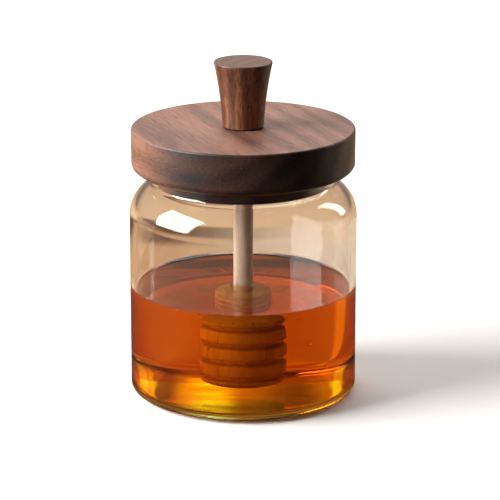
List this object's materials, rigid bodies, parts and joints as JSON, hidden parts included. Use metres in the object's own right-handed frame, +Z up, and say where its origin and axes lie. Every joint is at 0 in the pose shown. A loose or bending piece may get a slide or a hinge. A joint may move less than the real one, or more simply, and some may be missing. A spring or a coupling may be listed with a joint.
{
  "type": "honey pot with dipper",
  "caption": "Round clear glass honey pot, part full of amber honey, under a thick turned dark wood lid with a flared knob; a pale wooden dipper hangs from the lid into the honey.",
  "frame": {"origin": "centre of the jar's foot, on the surface that it stands on", "axes": "+Z up along the axis that every piece is turned about; -Y towards the viewer of the picture"},
  "size_m": [0.09, 0.09, 0.1343],
  "materials": {
    "clear_glass": "clear, fire-polished",
    "amber_honey": "clear amber liquid with a gloss surface",
    "pale_beech": "turned and sanded, unvarnished",
    "dark_walnut": "turned and oiled, satin",
    "knob_walnut": "turned and oiled, satin"
  },
  "bodies": {
    "root": {"jar": "clear_glass", "honey": "amber_honey", "dipper": "pale_beech", "lid": "dark_walnut", "knob": "knob_walnut"}
  },
  "joints": []
}
